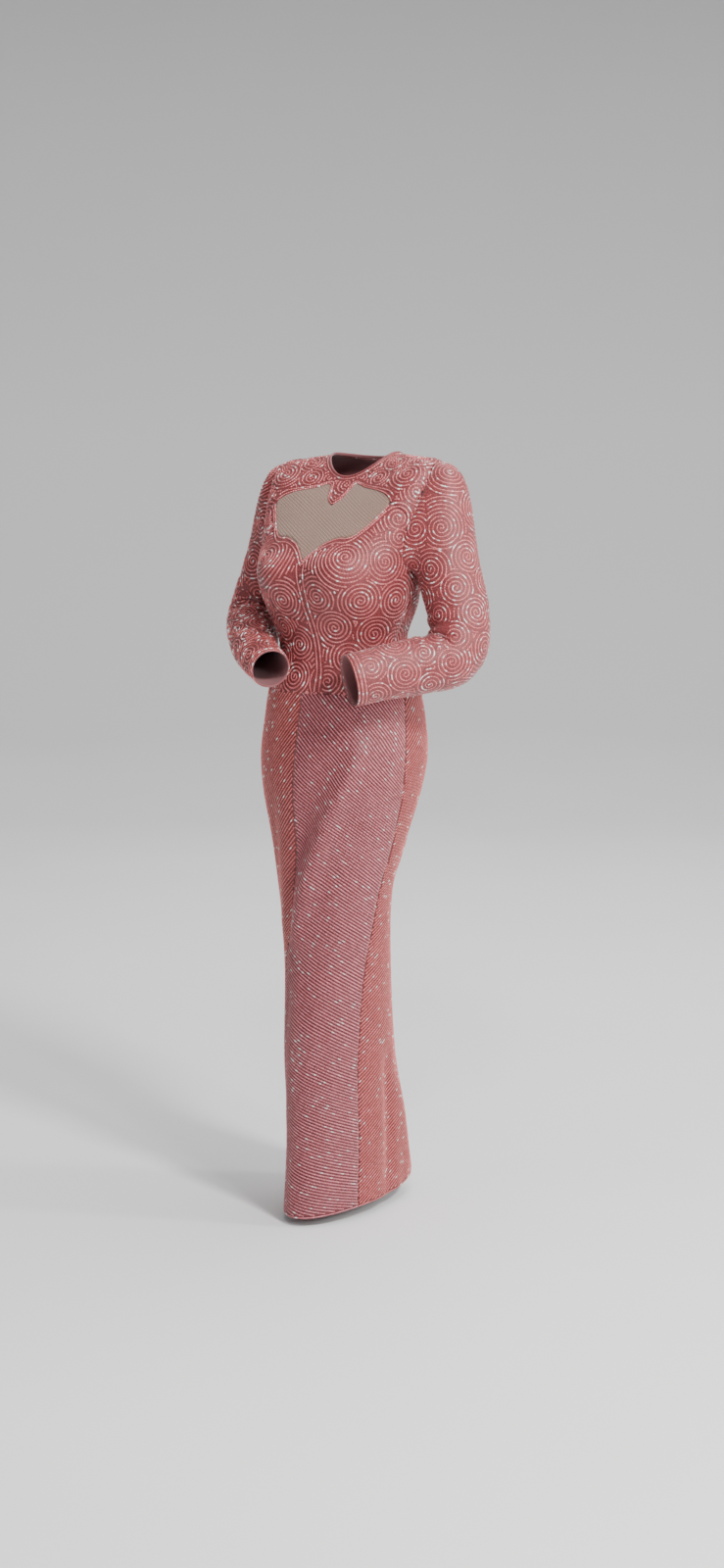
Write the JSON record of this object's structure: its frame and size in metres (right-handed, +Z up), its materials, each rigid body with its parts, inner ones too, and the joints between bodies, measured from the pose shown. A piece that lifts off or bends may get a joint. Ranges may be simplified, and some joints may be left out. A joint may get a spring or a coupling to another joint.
{
  "type": "beaded evening dress",
  "caption": "Floor-length fitted evening dress, beaded all over, with a net window at the chest, long sleeves over padded shoulders and a slim gored skirt.",
  "frame": {"origin": "midway between the inner ends of the two shoulder seams, where the wearer's shoulders hold the dress up", "axes": "+Z up, -Y the way the chest faces, +X the dress's left"},
  "size_m": [0.581, 0.3792, 1.4425],
  "materials": {
    "beaded_rose": "glass beads on rose cloth",
    "beaded_coral": "glass beads on coral cloth",
    "beaded_mauve": "glass beads on mauve pink cloth",
    "nude_net": "fine even net",
    "edging": "rolled and beaded",
    "tape": "woven tape"
  },
  "bodies": {
    "root": {"bodice_front": "beaded_rose", "yoke_front": "beaded_rose", "net_insert": "nude_net", "bodice_back_left": "beaded_rose", "bodice_back_right": "beaded_rose", "sleeve_left": "beaded_rose", "sleeve_right": "beaded_rose", "skirt_front_left": "beaded_mauve", "skirt_front_right": "beaded_coral", "skirt_back_left": "beaded_coral", "skirt_back_right": "beaded_mauve", "neck_edging": "edging", "zip_tape": "tape"}
  },
  "joints": []
}
